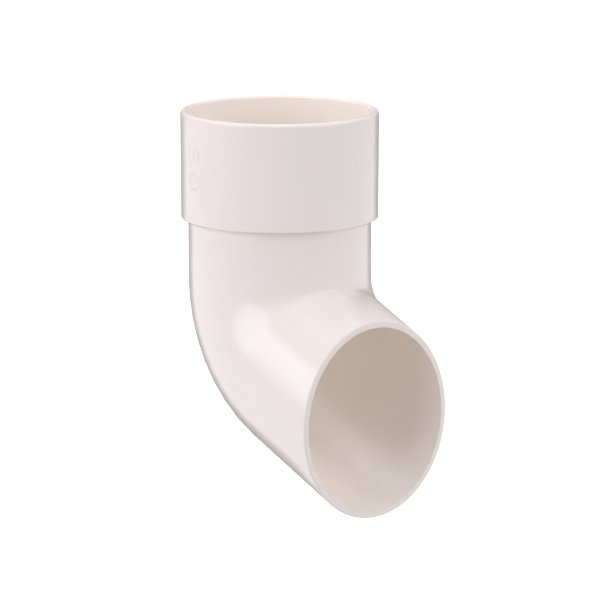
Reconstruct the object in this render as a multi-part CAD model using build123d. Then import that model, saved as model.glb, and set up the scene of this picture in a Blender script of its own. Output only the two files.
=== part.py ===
from build123d import *

import os

# Round downpipe shoe: one plastic moulding that throws the water clear of the wall at the
# foot of a downpipe. Its socket opens upwards, +Z, and its outlet points towards +X and
# slopes down. The XZ plane is its plane of symmetry. The origin is on the socket's axis,
# level with the pipe stop, the ledge that the downpipe's end stands on.
# All sizes are in millimetres and degrees.

# The downpipe, and the shoe's own tube, which has the same outside
pipe_diameter = 68.0
tube_wall = 2.2

# The socket that slides over the downpipe's end, and the collar round it
socket_clearance = 0.4  # gap all round between the downpipe and the socket's wall
socket_depth = 37.6  # pipe stop to rim
socket_lead_in = 0.6  # chamfer that guides the downpipe in
collar_wall = 2.45  # at the rim
collar_taper = 0.2  # how much smaller the collar's radius is at its foot
stop_thickness = 2.6  # ledge under the socket, down to the collar's foot
rim_rounding = 1.2
foot_bevel = 0.4  # outer corner of the collar's foot

# The tube below the collar, along its centre line
neck_length = 22.1  # collar's foot to the start of the bend
bend_angle = 67.5  # turn of the centre line
throat_radius = 0.5  # the outside's curve in the crook of the bend
outlet_length = 37.0  # end of the bend to the middle of the mouth
mouth_rounding = 0.5  # outer edge of the mouth

# What follows from those sizes
tube_radius = pipe_diameter / 2
bore_radius = tube_radius - tube_wall
socket_radius = tube_radius + socket_clearance
collar_radius = socket_radius + collar_wall
collar_foot_radius = collar_radius - collar_taper
bend_radius = tube_radius + throat_radius
bend_start = -(stop_thickness + neck_length)
past_the_end = tube_radius  # how far a cutting shape runs on beyond what it cuts


def bend_line():
    """Centre line of the bend, turning from straight down towards +X."""
    upright = Plane(origin=(0, 0, bend_start), x_dir=(1, 0, 0), z_dir=(0, -1, 0))
    return upright * CenterArc((bend_radius, 0), bend_radius, 180, bend_angle)


def mouth_middle():
    """Point where the centre line meets the plane of the mouth."""
    bend = bend_line()
    return bend @ 1 + (bend % 1) * outlet_length


def centre_line():
    """Centre line of the tube, from the pipe stop to past the mouth."""
    bend = bend_line()
    neck = Line((0, 0, 0), bend @ 0)
    outlet = Line(bend @ 1, mouth_middle() + (bend % 1) * past_the_end)
    return Wire([neck, bend, outlet])


def round_bar(radius):
    """Solid bar of the given radius along the centre line."""
    return sweep(Circle(radius), path=centre_line())


def collar():
    """Collar without the socket in it: its side leans in towards the foot."""
    profile = Polyline(
        (0, -stop_thickness),
        (collar_foot_radius - foot_bevel, -stop_thickness),
        (collar_foot_radius, foot_bevel - stop_thickness),
        (collar_radius, socket_depth),
        (0, socket_depth),
        close=True,
    )
    body = revolve(Plane.XZ * make_face(profile), Axis.Z)
    return fillet(body.edges().sort_by(Axis.Z)[-1], rim_rounding)


def socket_space():
    """Space of the socket: a true cylinder above the pipe stop, opening out at the rim."""
    lead_in_radius = socket_radius + socket_lead_in
    profile = Polyline(
        (0, 0),
        (socket_radius, 0),
        (socket_radius, socket_depth - socket_lead_in),
        (lead_in_radius, socket_depth),
        (lead_in_radius, socket_depth + past_the_end),
        (0, socket_depth + past_the_end),
        close=True,
    )
    return revolve(Plane.XZ * make_face(profile), Axis.Z)


def downpipe_shoe():
    """The whole moulding, with its mouth cut upright and the mouth's outer edge rounded."""
    body = collar() + round_bar(tube_radius)
    mouth_plane = Plane(origin=mouth_middle(), z_dir=(1, 0, 0))
    body = split(body, bisect_by=mouth_plane, keep=Keep.BOTTOM)
    body -= round_bar(bore_radius) + socket_space()
    mouth_edges = body.edges().group_by(Axis.X)[-1]
    return fillet(mouth_edges.sort_by(SortBy.LENGTH)[-1], mouth_rounding)


os.makedirs("parts", exist_ok=True)
export_step(downpipe_shoe(), "parts/downpipe_shoe.step")
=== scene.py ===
"""Looks of a moulded downpipe shoe: white plastic, the marks of its mould, and a studio.

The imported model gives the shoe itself, one hollow moulding. This script dresses it, adds the
fine raised marks that the mould leaves on it, and sets up the floor, the lights and the camera.
Everything is in metres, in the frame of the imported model: +Z up along the socket's axis, +X
towards the mouth, and the XZ plane as the plane of symmetry.
"""

import logging
import math
from dataclasses import dataclass
from enum import Enum

import bmesh
import bpy
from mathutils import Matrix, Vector

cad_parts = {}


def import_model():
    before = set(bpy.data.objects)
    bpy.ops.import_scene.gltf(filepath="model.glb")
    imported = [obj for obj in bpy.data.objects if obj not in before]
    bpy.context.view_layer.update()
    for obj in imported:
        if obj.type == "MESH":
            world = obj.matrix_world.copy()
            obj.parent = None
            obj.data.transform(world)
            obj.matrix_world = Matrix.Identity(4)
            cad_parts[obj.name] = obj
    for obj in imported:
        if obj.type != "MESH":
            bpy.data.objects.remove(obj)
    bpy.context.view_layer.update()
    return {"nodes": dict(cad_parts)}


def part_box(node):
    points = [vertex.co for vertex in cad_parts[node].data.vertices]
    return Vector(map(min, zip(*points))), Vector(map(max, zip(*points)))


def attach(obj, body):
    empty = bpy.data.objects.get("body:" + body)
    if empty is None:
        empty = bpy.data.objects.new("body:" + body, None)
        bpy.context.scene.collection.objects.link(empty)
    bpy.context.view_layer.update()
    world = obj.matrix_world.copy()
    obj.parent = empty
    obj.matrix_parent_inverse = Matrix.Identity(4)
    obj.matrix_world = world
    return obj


MM = 0.001
SHOE_NODE = "downpipe_shoe"
SHOE_BODY = "root"
RAY_LENGTH = 1.0  # farther than any ray has to go to meet the shoe

Colour = tuple[float, float, float]
NodeInputs = dict[str | int, object]

log = logging.getLogger(SHOE_NODE)


def compass(azimuth: float, elevation: float) -> Vector:
    """Direction from the shoe towards something that stands round it.

    Args:
        azimuth: Degrees from -Y, turning towards +X.
        elevation: Degrees above the horizon.

    Returns:
        The direction, of length one.
    """
    turn, rise = math.radians(azimuth), math.radians(elevation)
    level = math.cos(rise)
    return Vector((math.sin(turn) * level, -math.cos(turn) * level, math.sin(rise)))


class Wiring:
    """Adds nodes to one node tree, sets their inputs and links them."""

    def __init__(self, tree: bpy.types.NodeTree) -> None:
        """Starts on a tree.

        Args:
            tree: The shader or geometry node tree to fill.
        """
        self.tree = tree

    def add(self, kind: str, inputs: NodeInputs | None = None, **settings: object) -> bpy.types.Node:
        """Adds one node.

        Args:
            kind: The node's type, as Blender names it.
            inputs: Input name or number to a plain value, or to the output to link it from.
            **settings: The node's own settings, such as operation or data_type.

        Returns:
            The new node.
        """
        node = self.tree.nodes.new(kind)
        for name, value in settings.items():
            setattr(node, name, value)
        for name, value in (inputs or {}).items():
            socket = self._input(node, name)
            if isinstance(value, bpy.types.NodeSocket):
                self.tree.links.new(value, socket)
            else:
                socket.default_value = value
        return node

    def value(
        self, kind: str, inputs: NodeInputs | None = None, **settings: object
    ) -> bpy.types.NodeSocket:
        """Adds one node and gives its first output that is in use.

        Args:
            kind: The node's type, as Blender names it.
            inputs: As for add.
            **settings: As for add.

        Returns:
            The output.
        """
        node = self.add(kind, inputs, **settings)
        return next(socket for socket in node.outputs if socket.enabled)

    def math(self, operation: str, *values: object) -> bpy.types.NodeSocket:
        """Adds a Math node.

        Args:
            operation: The operation's name, such as ADD or MULTIPLY.
            *values: Up to three numbers or outputs.

        Returns:
            The result.
        """
        return self.value("ShaderNodeMath", dict(enumerate(values)), operation=operation)

    def vector_math(self, operation: str, *values: object) -> bpy.types.NodeSocket:
        """Adds a Vector Math node.

        Args:
            operation: The operation's name, such as ADD or SCALE.
            *values: Up to three vectors or outputs. For SCALE the second is the factor.

        Returns:
            The result.
        """
        inputs: NodeInputs = dict(enumerate(values))
        if operation == "SCALE":
            inputs = {0: values[0], "Scale": values[1]}
        return self.value("ShaderNodeVectorMath", inputs, operation=operation)

    @staticmethod
    def _input(node: bpy.types.Node, name: str | int) -> bpy.types.NodeSocket:
        """Finds an input by its number, or by its name among those in use.

        Args:
            node: The node.
            name: The input's number or name.

        Returns:
            The input.
        """
        if isinstance(name, int):
            return node.inputs[name]
        return next(socket for socket in node.inputs if socket.name == name and socket.enabled)


def new_material(name: str) -> tuple[bpy.types.Material, Wiring]:
    """Makes a material with an empty tree.

    Args:
        name: The material's name.

    Returns:
        The material, and the wiring of its tree.
    """
    material = bpy.data.materials.new(name)
    material.use_nodes = True
    material.node_tree.nodes.clear()
    return material, Wiring(material.node_tree)


def diffuse(wires: Wiring, tone: float) -> bpy.types.NodeSocket:
    """Adds a dull grey surface.

    Args:
        wires: The material's tree.
        tone: Share of the light that it sends back.

    Returns:
        The surface.
    """
    return wires.value("ShaderNodeBsdfDiffuse", {"Color": (tone, tone, tone, 1.0)})


@dataclass(frozen=True)
class MouldedPlastic:
    """Finish of rigid PVC straight from a polished mould: pale, smooth and softly glossy.

    The surface has three scales of unevenness: broad waves where the wall shrank unevenly,
    faint runs along the flow of the plastic, and the fine peel of the mould's polish.
    """

    name: str = "moulded white plastic"
    colour: Colour = (0.945, 0.887, 0.798)
    colour_spread: float = 0.012  # share by which the colour drifts
    drift_size: float = 22 * MM
    drift_detail: float = 3.0
    roughness: float = 0.22
    roughness_spread: float = 0.04
    sheen_size: float = 11 * MM  # of the duller and shinier patches
    sheen_detail: float = 4.0
    refraction: float = 1.53
    wave_size: float = 26 * MM
    wave_height: float = 0.03 * MM
    run_width: float = 5 * MM
    run_length: float = 90 * MM
    run_height: float = 0.006 * MM
    peel_size: float = 1.1 * MM
    peel_height: float = 0.0016 * MM

    def material(self) -> bpy.types.Material:
        """Builds the material. Its patterns all read Object coordinates.

        Returns:
            The material.
        """
        material, wires = new_material(self.name)
        place = wires.add("ShaderNodeTexCoord").outputs["Object"]
        shader = wires.value(
            "ShaderNodeBsdfPrincipled",
            {
                "Base Color": self._colour(wires, place),
                "Roughness": self._roughness(wires, place),
                "IOR": self.refraction,
                "Normal": self._relief(wires, place),
            },
        )
        wires.add("ShaderNodeOutputMaterial", {"Surface": shader})
        return material

    @staticmethod
    def _noise(
        wires: Wiring, place: bpy.types.NodeSocket, size: float, detail: float = 1.0
    ) -> bpy.types.NodeSocket:
        """Adds a noise whose features have the given size.

        Args:
            wires: The material's tree.
            place: The coordinates to read.
            size: Rough distance between two bumps, in metres.
            detail: Number of finer layers.

        Returns:
            The noise, from 0 to 1 about a mean of one half.
        """
        inputs = {"Vector": place, "Scale": 1 / size, "Detail": detail}
        return wires.value("ShaderNodeTexNoise", inputs)

    def _colour(self, wires: Wiring, place: bpy.types.NodeSocket) -> bpy.types.NodeSocket:
        """Adds the plastic's colour, which drifts a little from place to place.

        Args:
            wires: The material's tree.
            place: The coordinates to read.

        Returns:
            The colour.
        """
        drift = self._noise(wires, place, self.drift_size, self.drift_detail)
        darker, lighter = (
            (*(channel * (1 + side * self.colour_spread) for channel in self.colour), 1.0)
            for side in (-1, 1)
        )
        inputs = {"Factor": drift, "A": darker, "B": lighter}
        return wires.value("ShaderNodeMix", inputs, data_type="RGBA")

    def _roughness(self, wires: Wiring, place: bpy.types.NodeSocket) -> bpy.types.NodeSocket:
        """Adds the roughness, a little duller here and shinier there.

        Args:
            wires: The material's tree.
            place: The coordinates to read.

        Returns:
            The roughness.
        """
        patches = self._noise(wires, place, self.sheen_size, self.sheen_detail)
        uneven = wires.math("SUBTRACT", patches, 0.5)
        return wires.math("MULTIPLY_ADD", uneven, 2 * self.roughness_spread, self.roughness)

    def _relief(self, wires: Wiring, place: bpy.types.NodeSocket) -> bpy.types.NodeSocket:
        """Adds the bump of the waves, the runs and the peel.

        Args:
            wires: The material's tree.
            place: The coordinates to read.

        Returns:
            The bumped normal.
        """
        stretch = (1.0, 1.0, self.run_width / self.run_length)
        along = wires.value("ShaderNodeMapping", {"Vector": place, "Scale": stretch})
        layers = (
            (place, self.wave_size, self.wave_height),
            (along, self.run_width, self.run_height),
            (place, self.peel_size, self.peel_height),
        )
        normal: NodeInputs = {}
        for coordinates, size, height in layers:
            noise = self._noise(wires, coordinates, size)
            bump = wires.value("ShaderNodeBump", {"Height": noise, "Distance": height, **normal})
            normal = {"Normal": bump}
        return normal["Normal"]


@dataclass(frozen=True)
class StudioPaper:
    """Finish of the pale floor, which shows as white and still takes the shoe's shadow.

    What the camera, a mirror or a lens sees of it glows, so that it comes out white without
    more light on the shoe.
    """

    name: str = "studio paper"
    tone: float = 0.5  # share of the light that it sends back
    glow: float = 0.8  # where one is white

    def material(self) -> bpy.types.Material:
        """Builds the material.

        Returns:
            The material.
        """
        material, wires = new_material(self.name)
        paper = diffuse(wires, self.tone)
        glow = wires.value("ShaderNodeEmission", {"Strength": self.glow})
        shown = wires.value("ShaderNodeAddShader", {0: paper, 1: glow})
        surface = wires.value("ShaderNodeMixShader", {0: seen_directly(wires), 1: paper, 2: shown})
        wires.add("ShaderNodeOutputMaterial", {"Surface": surface})
        return material


@dataclass(frozen=True)
class ScreenCloth:
    """Finish of the dark screen: a dull charcoal cloth."""

    name: str = "charcoal cloth"
    tone: float = 0.05  # share of the light that it sends back

    def material(self) -> bpy.types.Material:
        """Builds the material.

        Returns:
            The material.
        """
        material, wires = new_material(self.name)
        wires.add("ShaderNodeOutputMaterial", {"Surface": diffuse(wires, self.tone)})
        return material


def seen_directly(wires: Wiring) -> bpy.types.NodeSocket:
    """Adds the test for what the camera sees, straight or by way of metal or glass.

    Args:
        wires: The tree of a material or of the world.

    Returns:
        One for such a ray, and nothing for the light that falls on the shoe.
    """
    path = wires.add("ShaderNodeLightPath")
    mirror = wires.math(
        "MAXIMUM", path.outputs["Is Glossy Ray"], path.outputs["Is Transmission Ray"]
    )
    return wires.math("MAXIMUM", path.outputs["Is Camera Ray"], mirror)


class MarkTree:
    """A Geometry Nodes tree that grows one of the mould's marks, with named inputs."""

    def __init__(self, name: str) -> None:
        """Starts an empty tree with the inputs that every mark has.

        Args:
            name: The tree's name.
        """
        self.tree = bpy.data.node_groups.new(name, "GeometryNodeTree")
        self.tree.interface.new_socket(
            "Geometry", in_out="OUTPUT", socket_type="NodeSocketGeometry"
        )
        self.wires = Wiring(self.tree)
        self._group: bpy.types.Node | None = None
        self.declare("Shoe", "NodeSocketObject")
        self.declare("Plastic", "NodeSocketMaterial")

    def declare(self, name: str, kind: str) -> None:
        """Adds a named input.

        Args:
            name: The input's name.
            kind: The input's socket type.
        """
        self.tree.interface.new_socket(name, in_out="INPUT", socket_type=kind)

    def given(self, name: str) -> bpy.types.NodeSocket:
        """The value of a named input. No input is declared after the first use of this.

        Args:
            name: The input's name.

        Returns:
            The value.
        """
        if self._group is None:
            self._group = self.wires.add("NodeGroupInput")
        return self._group.outputs[name]

    def on_shoe(self, source: object, direction: object) -> bpy.types.Node:
        """Casts a ray at the shoe from each point.

        Args:
            source: Where the ray starts.
            direction: Where it goes.

        Returns:
            The Raycast node, which tells where it meets the shoe.
        """
        info = self.wires.add("GeometryNodeObjectInfo", {"Object": self.given("Shoe")})
        inputs = {
            "Target Geometry": info.outputs["Geometry"],
            "Source Position": source,
            "Ray Direction": direction,
            "Ray Length": RAY_LENGTH,
        }
        return self.wires.add("GeometryNodeRaycast", inputs)

    def bead(self, curve: bpy.types.NodeSocket, radius: object, sides: int) -> bpy.types.NodeSocket:
        """Turns a curve into a round bead with closed ends.

        Args:
            curve: The curve, or instances of curves.
            radius: The bead's radius.
            sides: Number of flats round the bead.

        Returns:
            The bead's mesh.
        """
        real = self.wires.value("GeometryNodeRealizeInstances", {"Geometry": curve})
        section = self.wires.value(
            "GeometryNodeCurvePrimitiveCircle", {"Resolution": sides, "Radius": radius}
        )
        inputs = {"Curve": real, "Profile Curve": section, "Fill Caps": True}
        return self.wires.value("GeometryNodeCurveToMesh", inputs)

    def finish(self, geometry: bpy.types.NodeSocket) -> bpy.types.NodeTree:
        """Ends the tree: smooth faces, real geometry and the plastic.

        Args:
            geometry: The mark.

        Returns:
            The finished tree.
        """
        smooth = self.wires.value("GeometryNodeSetShadeSmooth", {"Geometry": geometry})
        real = self.wires.value("GeometryNodeRealizeInstances", {"Geometry": smooth})
        dressed = self.wires.value(
            "GeometryNodeSetMaterial", {"Geometry": real, "Material": self.given("Plastic")}
        )
        self.wires.add("NodeGroupOutput", {"Geometry": dressed})
        return self.tree


def grow(name: str, tree: bpy.types.NodeTree, inputs: dict[str, object]) -> bpy.types.Object:
    """Runs a geometry tree and keeps what it makes as a plain mesh.

    Args:
        name: The piece's name.
        tree: The tree.
        inputs: The tree's named inputs.

    Returns:
        The piece, at the origin.
    """
    bed = bpy.data.objects.new(name + "_bed", bpy.data.meshes.new(name + "_bed"))
    bpy.context.scene.collection.objects.link(bed)
    modifier = bed.modifiers.new(name, "NODES")
    modifier.node_group = tree
    identifiers = {
        item.name: item.identifier
        for item in tree.interface.items_tree
        if item.item_type == "SOCKET" and item.in_out == "INPUT"
    }
    for label, value in inputs.items():
        modifier[identifiers[label]] = value
    evaluated = bed.evaluated_get(bpy.context.evaluated_depsgraph_get())
    mesh = bpy.data.meshes.new_from_object(evaluated)
    mesh.name = name
    bpy.data.objects.remove(bed)
    piece = bpy.data.objects.new(name, mesh)
    bpy.context.scene.collection.objects.link(piece)
    return piece


@dataclass
class Moulding:
    """The shoe itself, as imported, and the few places on it that its marks are set out from."""

    body: bpy.types.Object
    finish: MouldedPlastic
    lip_depth: float = 1 * MM  # how far behind the mouth's plane its outer edge lies

    def __post_init__(self) -> None:
        """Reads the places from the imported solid."""
        self.low, self.high = (Vector(corner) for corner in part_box(self.body.name))
        self.collar_radius = self.high.y
        self.rim = self.high.z
        edge = self.high.x - self.lip_depth
        self.mouth_top = max(v.co.z for v in self.body.data.vertices if v.co.x > edge)

    def dress(self) -> None:
        """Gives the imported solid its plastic."""
        self.plastic = self.finish.material()
        for slot in self.body.material_slots:
            slot.material = self.plastic

    def carry(self, mark: bpy.types.Object) -> None:
        """Fixes a mark to the shoe.

        Args:
            mark: The mark's piece.
        """
        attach(mark, SHOE_BODY)
        log.info("%s: %d faces", mark.name, len(mark.data.polygons))


class Run(Enum):
    """The two runs of the parting line, by the side of the shoe that each is seen from."""

    THROAT = 1
    HEEL = -1


@dataclass
class PartingLine:
    """The fine bead where the mould's halves met, down both sides of the plane of symmetry.

    It is found by rays cast level at the shoe, so it follows whatever the solid does.
    """

    bead_radius: float = 0.25 * MM
    stand: float = 0.05 * MM  # how far the bead stands proud
    spacing: float = 0.25 * MM  # between two rays
    rim_gap: float = 1.6 * MM
    heel_gap: float = 24 * MM  # the heel's run starts this far below the rim
    mouth_gap: float = 1.5 * MM
    reach: float = 100 * MM  # from the axis to where the rays start
    bead_sides: int = 10

    def tree(self) -> bpy.types.NodeTree:
        """Builds the tree that drops a line of points onto the shoe and beads it.

        Returns:
            The tree.
        """
        mark = MarkTree("parting line")
        for name in ("Top", "Bottom", "Towards shoe"):
            mark.declare(name, "NodeSocketVector")
        for name in ("Bead radius", "Stand", "Last X"):
            mark.declare(name, "NodeSocketFloat")
        mark.declare("Points", "NodeSocketInt")
        wires = mark.wires
        ends = {
            "Count": mark.given("Points"),
            "Start Location": mark.given("Top"),
            "Offset": mark.given("Bottom"),
        }
        line = wires.value("GeometryNodeMeshLine", ends, mode="END_POINTS")
        here = wires.value("GeometryNodeInputPosition")
        met = mark.on_shoe(here, mark.given("Towards shoe"))
        sink = wires.math("SUBTRACT", mark.given("Stand"), mark.given("Bead radius"))
        depth = wires.vector_math("SCALE", met.outputs["Hit Normal"], sink)
        seated = wires.vector_math("ADD", met.outputs["Hit Position"], depth)
        laid = wires.value("GeometryNodeSetPosition", {"Geometry": line, "Position": seated})
        forward = wires.add("ShaderNodeSeparateXYZ", {"Vector": here}).outputs["X"]
        places = {"A": forward, "B": mark.given("Last X")}
        beyond = wires.value("FunctionNodeCompare", places, operation="GREATER_THAN")
        kept = wires.value("GeometryNodeDeleteGeometry", {"Geometry": laid, "Selection": beyond})
        curve = wires.value("GeometryNodeMeshToCurve", {"Mesh": kept})
        return mark.finish(mark.bead(curve, mark.given("Bead radius"), self.bead_sides))

    def build(self, shoe: Moulding) -> list[bpy.types.Object]:
        """Grows both runs of the line.

        Args:
            shoe: The shoe that they lie on.

        Returns:
            One piece for each run.
        """
        spans = {
            Run.THROAT: (shoe.rim - self.rim_gap, shoe.mouth_top),
            Run.HEEL: (shoe.rim - self.heel_gap, shoe.low.z),
        }
        tree = self.tree()
        return [self._run(shoe, tree, run, *span) for run, span in spans.items()]

    def _run(
        self, shoe: Moulding, tree: bpy.types.NodeTree, run: Run, top: float, bottom: float
    ) -> bpy.types.Object:
        """Grows one run.

        Args:
            shoe: The shoe that it lies on.
            tree: The line's tree.
            run: Which run it is.
            top: Height of its upper end.
            bottom: Height that it goes down to.

        Returns:
            The run's piece.
        """
        start = run.value * self.reach
        inputs = {
            "Shoe": shoe.body,
            "Plastic": shoe.plastic,
            "Top": (start, 0.0, top),
            "Bottom": (start, 0.0, bottom),
            "Towards shoe": (-float(run.value), 0.0, 0.0),
            "Points": round((top - bottom) / self.spacing) + 1,
            "Bead radius": self.bead_radius,
            "Stand": self.stand,
            "Last X": shoe.high.x - self.mouth_gap,
        }
        return grow(f"parting_line_{run.name.lower()}", tree, inputs)


class DialFace(Enum):
    """What a date dial counts, by the number of its ticks."""

    MONTHS = 12
    DAYS = 31


@dataclass
class DateDials:
    """Two small raised dials on the collar, which date the moulding: a ring, ticks and a pointer.

    They are drawn flat, X across and Y up, and then laid on the collar by rays cast at its axis.
    """

    azimuth: float = -9.0  # degrees from -Y, turning towards +X
    drops: tuple[float, float] = (13.8 * MM, 23.8 * MM)  # middles of the dials below the rim
    radius: float = 3.6 * MM
    tick_length: float = 0.9 * MM
    pointer_length: float = 3.6 * MM
    head_length: float = 1.0 * MM
    head_spread: float = 0.7  # half the head's width, as a share of its length
    line_width: float = 0.34 * MM
    line_height: float = 0.12 * MM
    pointer_turns: tuple[float, float] = (60.0, 205.0)  # degrees from across
    clearance: float = 2.0  # where the rays start, in collar radii from the axis
    ring_points: int = 72
    line_sides: int = 10

    def tree(self) -> bpy.types.NodeTree:
        """Builds the tree that draws one dial and lays it on the collar.

        Returns:
            The tree.
        """
        mark = MarkTree("date dial")
        names = ("Radius", "Tick length", "Pointer length", "Head length", "Pointer turn")
        for name in (*names, "Line width", "Line height", "Azimuth", "Height", "Collar radius"):
            mark.declare(name, "NodeSocketFloat")
        mark.declare("Ticks", "NodeSocketInt")
        wires = mark.wires
        drawing = wires.add("GeometryNodeJoinGeometry")
        for part in (self._ring(mark), self._ticks(mark), self._pointer(mark)):
            wires.tree.links.new(part, drawing.inputs["Geometry"])
        thickness = wires.math("MULTIPLY", mark.given("Line width"), 0.5)
        raised = mark.bead(drawing.outputs["Geometry"], thickness, self.line_sides)
        flatness = wires.math("DIVIDE", mark.given("Line height"), thickness)
        return mark.finish(self._laid(mark, raised, flatness))

    def _ring(self, mark: MarkTree) -> bpy.types.NodeSocket:
        """Adds the dial's ring.

        Args:
            mark: The dial's tree.

        Returns:
            The ring's line.
        """
        inputs = {"Resolution": self.ring_points, "Radius": mark.given("Radius")}
        return mark.wires.value("GeometryNodeCurvePrimitiveCircle", inputs)

    @staticmethod
    def _ticks(mark: MarkTree) -> bpy.types.NodeSocket:
        """Adds the ticks, which point outwards from a circle inside the ring.

        Args:
            mark: The dial's tree.

        Returns:
            The ticks' lines.
        """
        wires = mark.wires
        length = mark.given("Tick length")
        start = wires.math("SUBTRACT", mark.given("Radius"), length)
        inner = {"Vertices": mark.given("Ticks"), "Radius": start}
        circle = wires.value("GeometryNodeMeshCircle", inner)
        end = wires.value("ShaderNodeCombineXYZ", {"X": length})
        tick = wires.value("GeometryNodeCurvePrimitiveLine", {"End": end})
        here = wires.value("GeometryNodeInputPosition")
        outwards = wires.value("FunctionNodeAlignRotationToVector", {"Vector": here}, axis="X")
        inputs = {"Points": circle, "Instance": tick, "Rotation": outwards}
        return wires.value("GeometryNodeInstanceOnPoints", inputs)

    def _pointer(self, mark: MarkTree) -> bpy.types.NodeSocket:
        """Adds the pointer: a shaft through the dial's middle, and the two lines of its head.

        Args:
            mark: The dial's tree.

        Returns:
            The pointer's lines.
        """
        wires = mark.wires
        half = wires.math("MULTIPLY", mark.given("Pointer length"), 0.5)
        head = mark.given("Head length")
        tip = wires.value("ShaderNodeCombineXYZ", {"X": half})
        back = wires.math("SUBTRACT", half, head)
        ends = [wires.value("ShaderNodeCombineXYZ", {"X": wires.math("MULTIPLY", half, -1.0)})]
        for side in (-1, 1):
            across = wires.math("MULTIPLY", head, side * self.head_spread)
            ends.append(wires.value("ShaderNodeCombineXYZ", {"X": back, "Y": across}))
        lines = wires.add("GeometryNodeJoinGeometry")
        for end in ends:
            line = wires.value("GeometryNodeCurvePrimitiveLine", {"Start": end, "End": tip})
            wires.tree.links.new(line, lines.inputs["Geometry"])
        turn = wires.value("ShaderNodeCombineXYZ", {"Z": mark.given("Pointer turn")})
        inputs = {"Geometry": lines.outputs["Geometry"], "Rotation": turn}
        return wires.value("GeometryNodeTransform", inputs)

    def _laid(
        self, mark: MarkTree, flat: bpy.types.NodeSocket, flatness: bpy.types.NodeSocket
    ) -> bpy.types.NodeSocket:
        """Lays the flat dial on the collar.

        Args:
            mark: The dial's tree.
            flat: The dial's beads, flat at the origin.
            flatness: Factor that brings their height down from round.

        Returns:
            The dial on the collar.
        """
        wires = mark.wires
        here = wires.value("GeometryNodeInputPosition")
        parts = wires.add("ShaderNodeSeparateXYZ", {"Vector": here}).outputs
        around = wires.math("DIVIDE", parts["X"], mark.given("Collar radius"))
        angle = wires.math("ADD", mark.given("Azimuth"), around)
        sine = wires.math("SINE", angle)
        cosine = wires.math("MULTIPLY", wires.math("COSINE", angle), -1.0)
        outwards = wires.value("ShaderNodeCombineXYZ", {"X": sine, "Y": cosine})
        height = wires.math("ADD", mark.given("Height"), parts["Y"])
        level = wires.value("ShaderNodeCombineXYZ", {"Z": height})
        clear = wires.math("MULTIPLY", mark.given("Collar radius"), self.clearance)
        source = wires.vector_math("ADD", level, wires.vector_math("SCALE", outwards, clear))
        met = mark.on_shoe(source, wires.vector_math("SCALE", outwards, -1.0))
        proud = wires.math("MULTIPLY", parts["Z"], flatness)
        step = wires.vector_math("SCALE", outwards, proud)
        place = wires.vector_math("ADD", met.outputs["Hit Position"], step)
        return wires.value("GeometryNodeSetPosition", {"Geometry": flat, "Position": place})

    def build(self, shoe: Moulding) -> list[bpy.types.Object]:
        """Grows the dials.

        Args:
            shoe: The shoe that they are on.

        Returns:
            One piece for each dial.
        """
        tree = self.tree()
        dials = []
        for face, drop, turn in zip(DialFace, self.drops, self.pointer_turns):
            inputs = {
                "Shoe": shoe.body,
                "Plastic": shoe.plastic,
                "Radius": self.radius,
                "Ticks": face.value,
                "Tick length": self.tick_length,
                "Pointer length": self.pointer_length,
                "Head length": self.head_length,
                "Pointer turn": math.radians(turn),
                "Line width": self.line_width,
                "Line height": self.line_height,
                "Azimuth": math.radians(self.azimuth),
                "Height": shoe.rim - drop,
                "Collar radius": shoe.collar_radius,
            }
            dials.append(grow(f"{face.name.lower()}_dial", tree, inputs))
        return dials


def object_from(
    sheet: bmesh.types.BMesh, name: str, material: bpy.types.Material
) -> bpy.types.Object:
    """Turns a finished sheet into an object of the scene.

    Args:
        sheet: The sheet, which is used up.
        name: The object's name.
        material: Its material.

    Returns:
        The object.
    """
    mesh = bpy.data.meshes.new(name)
    sheet.to_mesh(mesh)
    sheet.free()
    mesh.materials.append(material)
    made = bpy.data.objects.new(name, mesh)
    bpy.context.scene.collection.objects.link(made)
    return made


@dataclass
class Floor:
    """A wide round floor, below the shoe, which hangs clear of it as it does on its pipe."""

    finish: StudioPaper
    drop: float = 90 * MM
    radius: float = 3.0
    sides: int = 96

    def build(self, shoe: Moulding) -> bpy.types.Object:
        """Makes the floor.

        Args:
            shoe: The shoe that it lies under.

        Returns:
            The floor.
        """
        sheet = bmesh.new()
        bmesh.ops.create_circle(sheet, cap_ends=True, segments=self.sides, radius=self.radius)
        bmesh.ops.translate(sheet, verts=sheet.verts, vec=(0.0, 0.0, shoe.low.z - self.drop))
        floor = object_from(sheet, "studio_floor", self.finish.material())
        return floor


@dataclass
class DarkScreen:
    """A dark screen that curves round behind the shoe, from the floor up, leaning away from it.

    Only the plastic's gloss shows it. It draws the fine dark edge that sets the pale shoe off
    from its white background, and keeps the light and the background as they are.
    """

    finish: ScreenCloth
    azimuth: float = -128.5  # middle of its arc, in degrees from -Y, turning towards +X
    arc: float = 82.0  # degrees
    foot_radius: float = 0.15
    top_radius: float = 1.7
    lean_height: float = 1.1  # it stands upright above this
    height: float = 2.7
    segments: int = 48

    def build(self, floor: bpy.types.Object) -> bpy.types.Object:
        """Makes the screen.

        Args:
            floor: The floor that it stands on.

        Returns:
            The screen.
        """
        foot = min(vertex.co.z for vertex in floor.data.vertices)
        profile = (
            (self.foot_radius, 0.0),
            (self.top_radius, self.lean_height),
            (self.top_radius, self.height),
        )
        start = self.azimuth - self.arc / 2
        turns = [start + self.arc * step / self.segments for step in range(self.segments + 1)]
        sheet = bmesh.new()
        rings = []
        for radius, rise in profile:
            lift = Vector((0.0, 0.0, foot + rise))
            rings.append([sheet.verts.new(compass(turn, 0.0) * radius + lift) for turn in turns])
        for lower, upper in zip(rings, rings[1:]):
            for step in range(self.segments):
                sheet.faces.new((lower[step], lower[step + 1], upper[step + 1], upper[step]))
        screen = object_from(sheet, "dark_screen", self.finish.material())
        screen.visible_camera = False
        screen.visible_diffuse = False
        screen.visible_transmission = False
        screen.visible_shadow = False
        return screen


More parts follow.
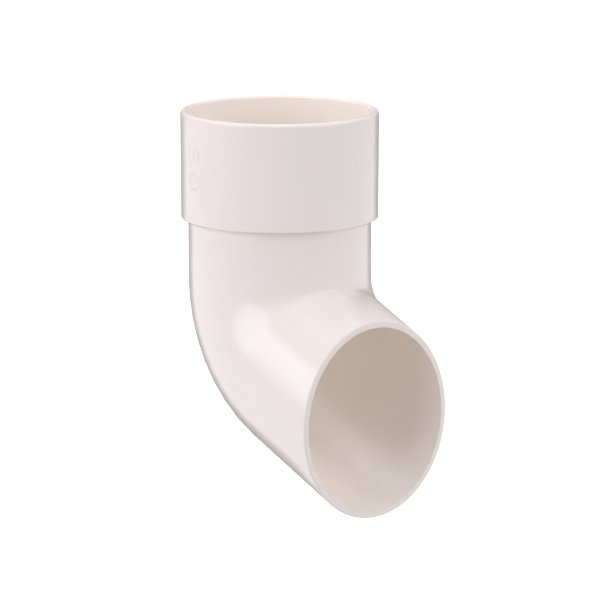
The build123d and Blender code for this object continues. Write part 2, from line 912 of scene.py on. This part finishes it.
@dataclass(frozen=True)
class Softbox:
    """One soft lamp, a rectangle that faces the shoe."""

    name: str
    azimuth: float  # degrees from -Y, turning towards +X
    elevation: float
    watts: float
    width: float = 0.5
    height: float = 0.75
    distance: float = 1.5
    colour: Colour = (1.0, 0.968, 1.058)
    shines: bool = True  # whether the plastic's gloss shows it

    def hang(self, target: Vector) -> bpy.types.Object:
        """Hangs the lamp.

        Args:
            target: What it faces.

        Returns:
            The lamp.
        """
        light = bpy.data.lights.new(self.name, "AREA")
        light.shape = "RECTANGLE"
        light.size = self.width
        light.size_y = self.height
        light.energy = self.watts
        light.color = self.colour
        lamp = bpy.data.objects.new(self.name, light)
        towards = compass(self.azimuth, self.elevation)
        lamp.location = target + towards * self.distance
        lamp.rotation_mode = "QUATERNION"
        lamp.rotation_quaternion = towards.to_track_quat("Z", "Y")
        lamp.visible_glossy = self.shines
        bpy.context.scene.collection.objects.link(lamp)
        return lamp


@dataclass
class Studio:
    """The light round the shoe: soft lamps, and the even light of a pale room."""

    lamps: tuple[Softbox, ...]
    room_light: Colour = (0.345, 0.334, 0.365)

    def light(self, target: Vector) -> None:
        """Hangs the lamps and lights the room.

        Args:
            target: What the lamps face.
        """
        for softbox in self.lamps:
            softbox.hang(target)
        world = bpy.data.worlds.new("pale room")
        world.use_nodes = True
        world.node_tree.nodes.clear()
        wires = Wiring(world.node_tree)
        room = wires.value("ShaderNodeBackground", {"Color": (*self.room_light, 1.0)})
        white = wires.value("ShaderNodeBackground", {"Color": (1.0, 1.0, 1.0, 1.0)})
        shown = wires.value("ShaderNodeMixShader", {0: seen_directly(wires), 1: room, 2: white})
        wires.add("ShaderNodeOutputWorld", {"Surface": shown})
        bpy.context.scene.world = world


@dataclass
class PhotoCamera:
    """Camera that sees the shoe as the photograph does: from far off, a little above it."""

    azimuth: float = 50.62  # degrees from -Y, turning towards +X
    elevation: float = 10.86
    distance: float = 1.828
    pixels_per_metre: float = 2700.4  # at the middle of the rim
    rim_pixel: tuple[float, float] = (279.69, 109.67)  # middle of the rim in the frame
    frame_side: float = 600.0  # pixels
    sensor: float = 36.0  # millimetres

    def place(self, rim_middle: Vector) -> bpy.types.Object:
        """Makes the camera and gives it to the scene.

        Args:
            rim_middle: Middle of the socket's rim.

        Returns:
            The camera.
        """
        away = compass(self.azimuth, self.elevation)
        turn = away.to_track_quat("Z", "Y")
        right, up = turn @ Vector((1, 0, 0)), turn @ Vector((0, 1, 0))
        middle = self.frame_side / 2
        across = (middle - self.rim_pixel[0]) / self.pixels_per_metre
        down = (self.rim_pixel[1] - middle) / self.pixels_per_metre
        data = bpy.data.cameras.new("photo_camera")
        data.sensor_fit = "HORIZONTAL"
        data.sensor_width = self.sensor
        data.lens = self.sensor * self.distance * self.pixels_per_metre / self.frame_side
        camera = bpy.data.objects.new("photo_camera", data)
        camera.rotation_mode = "QUATERNION"
        camera.rotation_quaternion = turn
        camera.location = rim_middle + away * self.distance + right * across + up * down
        bpy.context.scene.collection.objects.link(camera)
        bpy.context.scene.camera = camera
        return camera


def main() -> None:
    """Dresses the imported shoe, adds the mould's marks and sets up the studio."""
    logging.basicConfig(level=logging.INFO, format="%(name)s: %(message)s")
    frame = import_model()
    shoe = Moulding(frame["nodes"][SHOE_NODE], MouldedPlastic())
    shoe.dress()
    for mark in (*PartingLine().build(shoe), *DateDials().build(shoe)):
        shoe.carry(mark)
    floor = Floor(StudioPaper()).build(shoe)
    DarkScreen(ScreenCloth()).build(floor)
    middle = (shoe.low + shoe.high) / 2
    lamps = (
        Softbox("left_softbox", azimuth=-11.0, elevation=22.0, watts=11.7, width=1.4, height=1.0),
        Softbox("right_softbox", azimuth=121.0, elevation=20.0, watts=6.1, width=1.0),
        Softbox("mouth_softbox", azimuth=100.0, elevation=45.0, watts=2.0, width=1.0, height=1.0),
        Softbox("top_softbox", azimuth=51.0, elevation=89.0, watts=4.6, width=1.4, height=1.4),
        Softbox("high_back_softbox", azimuth=-129.0, elevation=60.0, watts=5.5, shines=False),
        Softbox("low_back_softbox", azimuth=-129.0, elevation=35.0, watts=9.6, shines=False),
    )
    Studio(lamps).light(middle)
    PhotoCamera().place(Vector((0.0, 0.0, shoe.rim)))
    bpy.context.scene.view_settings.view_transform = "Standard"


if __name__ == "__main__":
    main()
